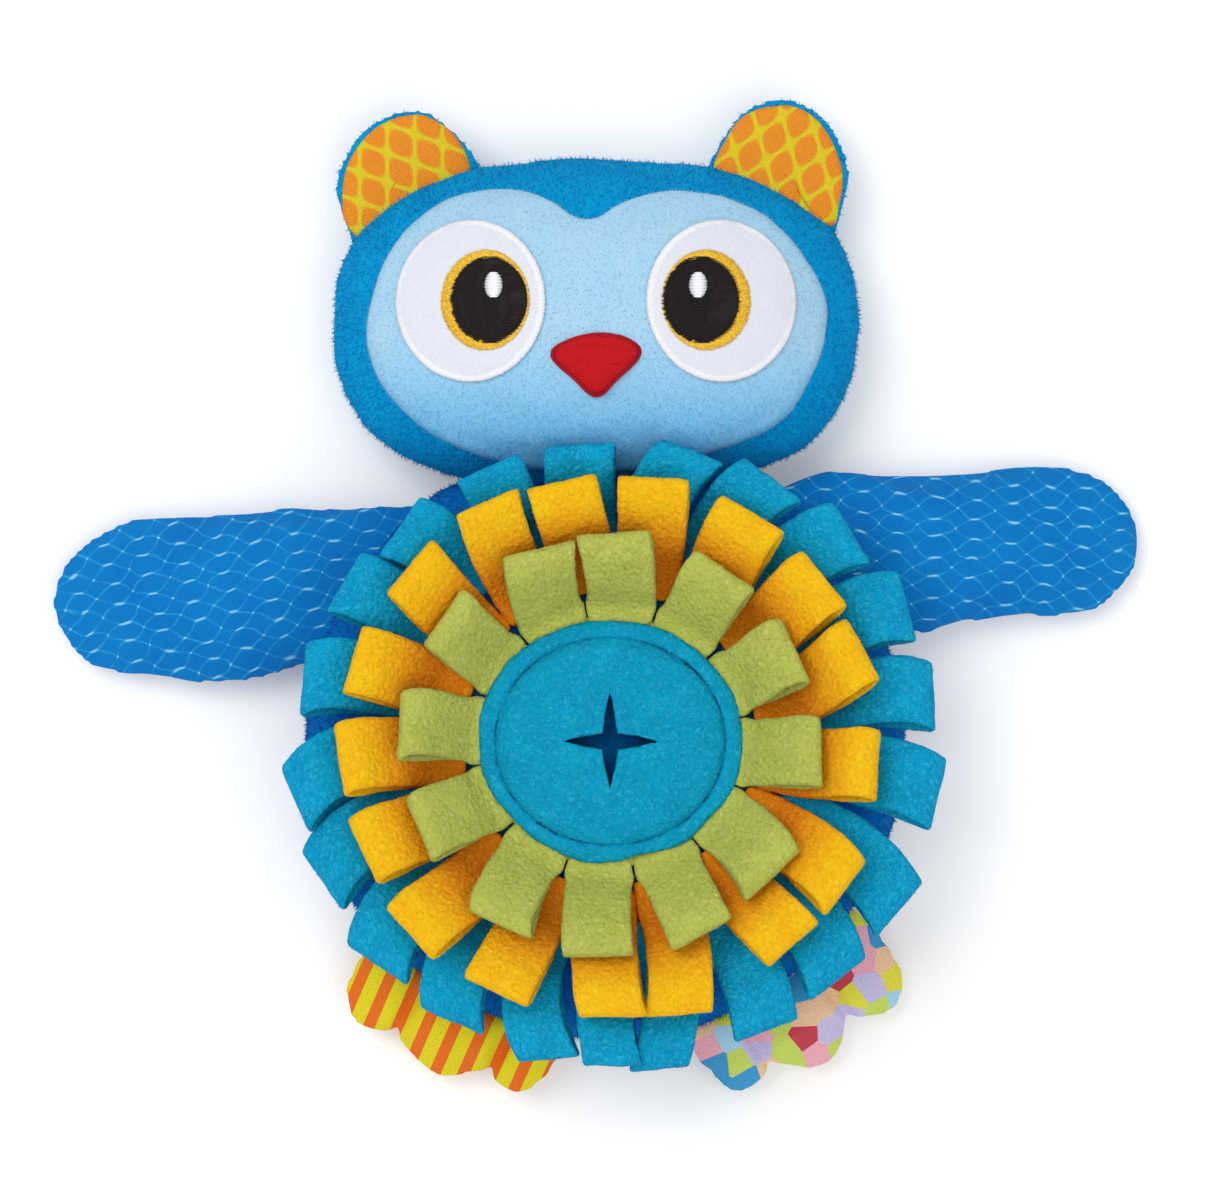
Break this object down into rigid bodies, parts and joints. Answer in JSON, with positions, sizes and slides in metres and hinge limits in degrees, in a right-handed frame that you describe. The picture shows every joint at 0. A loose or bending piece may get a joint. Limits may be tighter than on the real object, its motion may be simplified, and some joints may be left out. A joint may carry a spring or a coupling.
{
  "type": "plush snuffle toy",
  "caption": "Owl-shaped plush snuffle toy with rings of fleece loops round a slit treat pocket, stuffed head, wings and feet.",
  "frame": {"origin": "under the middle of the treat pocket, on the flat of the body's back that the toy lies on", "axes": "+Z out of the toy's front, +Y towards its head, +X to the right of someone who looks at its face"},
  "size_m": [0.3067, 0.2784, 0.0595],
  "materials": {
    "body_plush": "short pile plush",
    "head_plush": "short pile plush",
    "face_minky": "short smooth pile",
    "eye_satin": "satin cloth",
    "iris_thread": "satin stitch",
    "pupil_thread": "satin stitch",
    "glint_thread": "satin stitch",
    "beak_felt": "brushed cloth",
    "ear_lining_print": "printed cotton",
    "wing_print": "smooth printed cloth",
    "left_foot_print": "striped printed cloth",
    "right_foot_print": "printed cloth",
    "base_fleece": "fleece",
    "blue_fleece": "mottled fleece",
    "yellow_fleece": "mottled fleece",
    "green_fleece": "mottled fleece",
    "lid_fleece": "fleece"
  },
  "bodies": {
    "body": {"body_cushion": "body_plush", "flower_base": "base_fleece", "blue_loop_ring": "blue_fleece", "yellow_loop_ring": "yellow_fleece", "green_loop_ring": "green_fleece", "pocket_lid": "lid_fleece"},
    "head": {"head": "head_plush", "face_patch": "face_minky", "beak": "beak_felt", "eye_white_left": "eye_satin", "eye_white_right": "eye_satin", "iris_left": "iris_thread", "iris_right": "iris_thread", "pupil_left": "pupil_thread", "pupil_right": "pupil_thread", "glint_left": "glint_thread", "glint_right": "glint_thread"},
    "ear_left": {"ear_left": "head_plush", "ear_lining_left": "ear_lining_print"},
    "ear_right": {"ear_right": "head_plush", "ear_lining_right": "ear_lining_print"},
    "wing_left": {"wing_left": "wing_print"},
    "wing_right": {"wing_right": "wing_print"},
    "foot_left": {"foot_left": "left_foot_print"},
    "foot_right": {"foot_right": "right_foot_print"}
  },
  "joints": [
    {"name": "head_nod", "type": "hinge", "parent": "body", "child": "head", "pos_m": [-0.0039, 0.07115, 0.017], "axis": [1, 0, 0], "range_deg": [-50, 12]},
    {"name": "ear_left_fold", "type": "hinge", "parent": "head", "child": "ear_left", "pos_m": [-0.06469, 0.15132, 0.018], "axis": [0.8018, 0.5976, 0], "range_deg": [-60, 75], "stiffness_Nm_per_rad": 0.004},
    {"name": "ear_right_fold", "type": "hinge", "parent": "head", "child": "ear_right", "pos_m": [0.05148, 0.15483, 0.018], "axis": [0.8729, -0.4879, 0], "range_deg": [-60, 75], "stiffness_Nm_per_rad": 0.004},
    {"name": "wing_left_flap", "type": "hinge", "parent": "body", "child": "wing_left", "pos_m": [-0.06856, 0.05644, 0.0145], "axis": [0.6428, 0.766, 0], "range_deg": [-45, 50]},
    {"name": "wing_right_flap", "type": "hinge", "parent": "body", "child": "wing_right", "pos_m": [0.06186, 0.06099, 0.0145], "axis": [0.6947, -0.7193, 0], "range_deg": [-45, 50]},
    {"name": "foot_left_bend", "type": "hinge", "parent": "body", "child": "foot_left", "pos_m": [-0.04411, -0.07723, 0.015], "axis": [-0.8746, 0.4848, 0], "range_deg": [-25, 18], "stiffness_Nm_per_rad": 0.01},
    {"name": "foot_right_bend", "type": "hinge", "parent": "body", "child": "foot_right", "pos_m": [0.04998, -0.07189, 0.015], "axis": [-0.8141, -0.5807, 0], "range_deg": [-25, 18], "stiffness_Nm_per_rad": 0.01}
  ]
}
